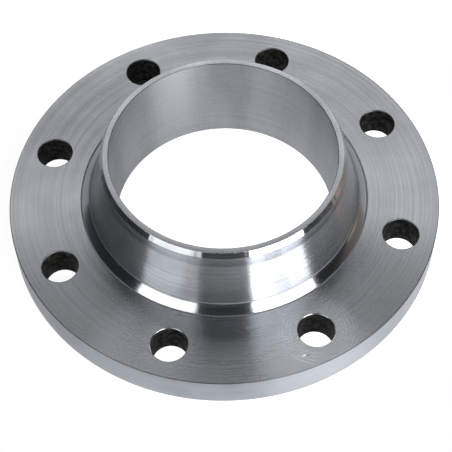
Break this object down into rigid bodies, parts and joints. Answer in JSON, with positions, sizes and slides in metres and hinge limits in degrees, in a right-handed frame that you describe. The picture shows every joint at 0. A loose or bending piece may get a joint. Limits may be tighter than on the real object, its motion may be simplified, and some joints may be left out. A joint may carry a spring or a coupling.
{
  "type": "welding neck pipe flange",
  "caption": "Round steel pipe flange with a ring of bolt holes, a raised sealing face and a tapered hub that ends in a bevelled stub for a butt weld.",
  "frame": {"origin": "centre of the raised sealing face, which the flange rests on", "axes": "+Z along the bore, from the sealing face to the weld end; the bolt holes lie evenly either side of X and Y"},
  "size_m": [0.285, 0.285, 0.07],
  "materials": {
    "machined_steel": "turned, bare"
  },
  "bodies": {
    "root": {"flange": "machined_steel"}
  },
  "joints": []
}
